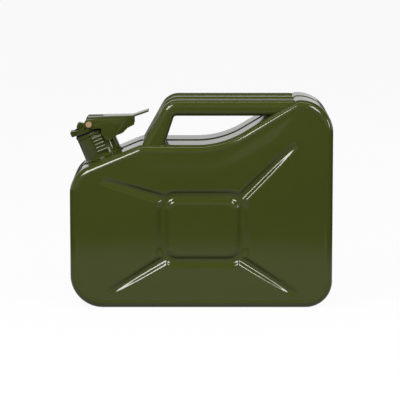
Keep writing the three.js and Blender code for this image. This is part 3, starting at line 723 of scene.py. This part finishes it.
def bead_tree():
    """A round bead swept along a chain of edges, rippled where each weld pool set over the last."""
    tree, entry, leave = new_tree("rippled_bead", [
        ("Radius", "NodeSocketFloat", 0.001), ("Ripple", "NodeSocketFloat", 0.1),
        ("Pitch", "NodeSocketFloat", 0.003), ("Material", "NodeSocketMaterial", None)])
    nodes, links = tree.nodes, tree.links
    path = nodes.new("GeometryNodeMeshToCurve")
    links.new(entry.outputs["Geometry"], path.inputs[0])
    fine = nodes.new("GeometryNodeResampleCurve")
    fine.mode = "LENGTH"
    fine.inputs["Length"].default_value = BEAD_STEP
    links.new(path.outputs[0], fine.inputs["Curve"])
    along = nodes.new("GeometryNodeSplineParameter")
    turns = math_node(tree, "DIVIDE", along.outputs["Length"], entry.outputs["Pitch"])
    pool = math_node(tree, "FRACT", turns)
    swell = math_node(tree, "MULTIPLY", math_node(tree, "SQRT", pool), entry.outputs["Ripple"])
    width = math_node(tree, "MULTIPLY", math_node(tree, "SUBTRACT", 1.0, swell), entry.outputs["Radius"])
    ring = nodes.new("GeometryNodeCurvePrimitiveCircle")
    ring.inputs["Resolution"].default_value = 10
    ring.inputs["Radius"].default_value = 1
    sweep = nodes.new("GeometryNodeCurveToMesh")
    links.new(fine.outputs[0], sweep.inputs["Curve"])
    links.new(ring.outputs[0], sweep.inputs["Profile Curve"])
    links.new(width, sweep.inputs["Scale"])
    sweep.inputs["Fill Caps"].default_value = True
    close_tree(tree, entry, leave, sweep.outputs[0])
    return tree


BEAD_RADIUS = 1.5 * MM


BEAD_LIFT = 0.35  # how far the bead's centre lies above the groove's floor, as a share of its radius


def seam_path():
    """The seam's floor round the can, broken where the neck stands."""
    inset = SEAM_DEPTH - BEAD_RADIUS * BEAD_LIFT
    flat = outline_points(CAN_CORNERS, inset, arc_step=1 * MM, side_step=1 * MM)
    away = NECK_MATRIX.inverted()
    neck_reach, below_neck = NECK_RADIUS + 0.8 * MM, SHOULDER_FOOT_Z * 0.6
    outside = [abs((away @ Vector((x, 0, z))).x) > neck_reach or z < below_neck for x, z in flat]
    first = next(i for i in range(len(flat)) if outside[i] and not outside[i - 1])
    kept = [flat[(first + k) % len(flat)] for k in range(len(flat)) if outside[(first + k) % len(flat)]]
    mesh = bpy.data.meshes.new("seam_path")
    mesh.from_pydata([(x, 0, z) for x, z in kept], [(k, k + 1) for k in range(len(kept) - 1)], [])
    return mesh


bead = grown("seam_bead", seam_path(), bead_tree(), ENAMEL, Radius=BEAD_RADIUS, Ripple=0.16, Pitch=2.6 * MM)
add_piece("seam_bead", bead, "can", "olive_enamel", "seam_weld_band", 60)


def rib_tree():
    """Half-round ribs in a row on a base."""
    tree, entry, leave = new_tree("rib_row", [
        ("Count", "NodeSocketInt", 5),
        ("First", "NodeSocketVector", (0, 0, 0)),
        ("Step", "NodeSocketVector", (0, 0, 0.004)),
        ("Radius", "NodeSocketFloat", 0.002), ("Length", "NodeSocketFloat", 0.012),
        ("Turn", "NodeSocketVector", (0, 0, 0)), ("Material", "NodeSocketMaterial", None)])
    nodes, links = tree.nodes, tree.links
    row = nodes.new("GeometryNodeMeshLine")
    links.new(entry.outputs["Count"], row.inputs["Count"])
    links.new(entry.outputs["First"], row.inputs["Start Location"])
    links.new(entry.outputs["Step"], row.inputs["Offset"])
    rib = nodes.new("GeometryNodeMeshCylinder")
    rib.inputs["Vertices"].default_value = 20
    links.new(entry.outputs["Radius"], rib.inputs["Radius"])
    links.new(entry.outputs["Length"], rib.inputs["Depth"])
    turn = nodes.new("FunctionNodeEulerToRotation")
    links.new(entry.outputs["Turn"], turn.inputs[0])
    place = nodes.new("GeometryNodeInstanceOnPoints")
    links.new(row.outputs[0], place.inputs["Points"])
    links.new(rib.outputs["Mesh"], place.inputs["Instance"])
    links.new(turn.outputs[0], place.inputs["Rotation"])
    both = nodes.new("GeometryNodeJoinGeometry")
    links.new(place.outputs[0], both.inputs[0])
    links.new(entry.outputs["Geometry"], both.inputs[0])
    close_tree(tree, entry, leave, both.outputs[0])
    return tree


RIB_PITCH = 4.6 * MM


def ribbed_lugs():
    """The plates each side of the neck that the lever closes beside, in millimetres of the neck's frame."""
    tree = rib_tree()
    step = NECK_MATRIX.to_3x3() @ Vector((0, 0, RIB_PITCH))
    for name, side in SIDES:
        low_y, high_y = sorted((side * 20, side * 25.9))
        base = bevelled(block((-4, low_y, 7), (9, high_y, 31)), 0.7 * MM)
        first = NECK_MATRIX @ Vector((2.5 * MM, side * 25.3 * MM, 9.8 * MM))
        lug = grown(f"latch_plate_{name}", base, tree, ENAMEL, First=first, Step=step, Count=5,
                    Radius=1.9 * MM, Length=12.4 * MM, Turn=(0, math.pi / 2 - SHOULDER_ANGLE, 0))
        add_piece(f"latch_plate_{name}", lug, "can", "olive_enamel", f"latch_lug_{name}", 40)


ribbed_lugs()

# Nodes carried over as they are, with the slot of each
CARRIED_NODES = {
    "hinge_pin": "zinc_steel",
    "gasket_retainer": "zinc_steel",
    "retainer_rivet": "zinc_steel",
    "pin_spacer_left": "zinc_steel",
    "pin_spacer_right": "zinc_steel",
    "breather_tube": "zinc_steel",
    "lever_pin": "copper",
}
for node, slot in CARRIED_NODES.items():
    for material_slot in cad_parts[node].material_slots:
        material_slot.material = SLOT_MATERIALS[slot]


# ---- studio ----
PAPER = 0.94  # how bright the paper and the room look to the camera
POOL_REACH = 0.7  # metres from the can out to where the floor's painted glow, a painted pool of light, falls dark in reflections
POOL_EDGE = 0.7  # the share of that reach at which it starts to fall
POOL_GLOW, DARK_GLOW = 0.4, 0.03  # how bright the floor's painted glow is in reflections, near and far
BAND_TOP = 0.22, 0.5  # heights in the sky between which the bright band fades
BAND_ABOVE = 0.08  # what is left above the band
BAND_FRONT, BAND_BEHIND = 0.3, 0.75  # how bright the band is before and behind the can


def socket_values(node, **values):
    for label, value in values.items():
        node.inputs[label.replace("_", " ")].default_value = value


def stage_material():
    """Pale to the camera, with a faint contact shadow. In reflections, a painted pool of light round the can:
    an emitted glow that fades with distance, not light from the lamps.
    """
    material = bpy.data.materials.new("pale_paper")
    material.use_nodes = True
    nodes, links = material.node_tree.nodes, material.node_tree.links
    nodes.clear()
    out = nodes.new("ShaderNodeOutputMaterial")
    matt = nodes.new("ShaderNodeBsdfDiffuse")
    matt.inputs["Color"].default_value = (0.8, 0.8, 0.8, 1)
    bright = nodes.new("ShaderNodeEmission")
    socket_values(bright, Color=(1, 1, 1, 1), Strength=1)
    seen = nodes.new("ShaderNodeMixShader")
    seen.inputs["Fac"].default_value = 1 - PAPER
    links.new(bright.outputs[0], seen.inputs[1])
    links.new(matt.outputs[0], seen.inputs[2])
    coords = nodes.new("ShaderNodeTexCoord")
    reach = nodes.new("ShaderNodeVectorMath")
    reach.operation = "LENGTH"
    links.new(coords.outputs["Object"], reach.inputs[0])
    pool = ramp_node(nodes, POOL_REACH * POOL_EDGE, POOL_REACH, POOL_GLOW, DARK_GLOW)
    links.new(reach.outputs["Value"], pool.inputs["Value"])
    # painted pool of light: emission on the floor that fades with distance from the can
    painted_pool_glow = nodes.new("ShaderNodeEmission")
    links.new(pool.outputs["Result"], painted_pool_glow.inputs["Strength"])
    ray = nodes.new("ShaderNodeLightPath")
    choice = nodes.new("ShaderNodeMixShader")
    links.new(ray.outputs["Is Camera Ray"], choice.inputs["Fac"])
    links.new(painted_pool_glow.outputs[0], choice.inputs[1])
    links.new(seen.outputs[0], choice.inputs[2])
    links.new(choice.outputs[0], out.inputs["Surface"])
    return material


FLOOR_SIZE = 24
FLOOR_GAP = 0.2 * MM


def lay_floor():
    bpy.ops.mesh.primitive_plane_add(size=FLOOR_SIZE, location=(0, 0, -FLOOR_GAP))
    floor = bpy.context.object
    floor.name = "floor"
    floor.data.materials.append(stage_material())


def light_room():
    """Pale to the camera. In reflections, a bright band low behind the can, dimmer in front, dark above."""
    world = bpy.data.worlds.new("studio")
    scene.world = world
    world.use_nodes = True
    nodes, links = world.node_tree.nodes, world.node_tree.links
    background = nodes["Background"]
    background.inputs["Color"].default_value = (1, 1, 1, 1)
    coords = nodes.new("ShaderNodeTexCoord")
    parts = nodes.new("ShaderNodeSeparateXYZ")
    links.new(coords.outputs["Generated"], parts.inputs[0])
    low = ramp_node(nodes, *BAND_TOP, 1, BAND_ABOVE)
    links.new(parts.outputs["Z"], low.inputs["Value"])
    behind = ramp_node(nodes, -0.5, 0.7, BAND_FRONT, BAND_BEHIND)
    links.new(parts.outputs["Y"], behind.inputs["Value"])
    band = math_node(world.node_tree, "MULTIPLY", low.outputs["Result"], behind.outputs["Result"])
    ray = nodes.new("ShaderNodeLightPath")
    choice = nodes.new("ShaderNodeMix")
    choice.data_type = "FLOAT"
    links.new(ray.outputs["Is Camera Ray"], choice.inputs[0])
    links.new(band, choice.inputs[2])
    choice.inputs[3].default_value = PAPER
    links.new(choice.outputs[0], background.inputs["Strength"])


LAMP_AIM = Vector((0, 0, 0.13))
NEAR, AWAY = 1.5, 2.4  # metres from the can to a soft box and to a fill lamp


def soft_box(name, direction, distance, size, radiance, in_reflections=True):
    """An area light that faces the can. Its power follows from how bright its face is."""
    light = bpy.data.lights.new(name, "AREA")
    light.shape = "RECTANGLE"
    light.size, light.size_y = size
    light.energy = radiance * math.pi * size[0] * size[1]
    lamp = bpy.data.objects.new(name, light)
    lamp.location = LAMP_AIM + Vector(direction).normalized() * distance
    lamp.rotation_euler = (LAMP_AIM - lamp.location).to_track_quat("-Z", "Y").to_euler()
    lamp.visible_glossy = in_reflections
    lamp.visible_camera = False
    scene.collection.objects.link(lamp)


lay_floor()
light_room()
soft_box("left_box", (-0.50, -0.60, 0.63), NEAR, (0.50, 0.55), 16)
soft_box("right_box", (0.50, -0.60, 0.63), NEAR, (0.28, 0.55), 16)
soft_box("overhead_strip", (0, -0.05, 1), NEAR, (1.6, 0.12), 5)
soft_box("side_window", (0.92, -0.29, 0.26), NEAR, (0.12, 0.34), 18)
soft_box("fill", (0, -0.9, 0.45), AWAY, (2.2, 1.4), 2.3, in_reflections=False)
soft_box("back_fill", (0.3, 0.9, 0.5), AWAY, (2.0, 1.2), 1.4, in_reflections=False)

# ---- camera ----
VIEW_WIDTH = 523.3 * MM
DISTANCE = 3.0
ELEVATION = math.radians(8)
CENTRE = Vector(((FRONT + REAR) / 2 - 1.7 * MM, -HALF_DEPTH, 144.2 * MM))


def place_camera():
    data = bpy.data.cameras.new("camera")
    data.sensor_width = 36
    data.lens = data.sensor_width * DISTANCE / VIEW_WIDTH
    camera = bpy.data.objects.new("camera", data)
    camera.location = CENTRE + Vector((0, -math.cos(ELEVATION), math.sin(ELEVATION))) * DISTANCE
    camera.rotation_euler = (CENTRE - camera.location).to_track_quat("-Z", "Y").to_euler()
    scene.collection.objects.link(camera)
    scene.camera = camera


place_camera()
scene.view_settings.view_transform = "Standard"
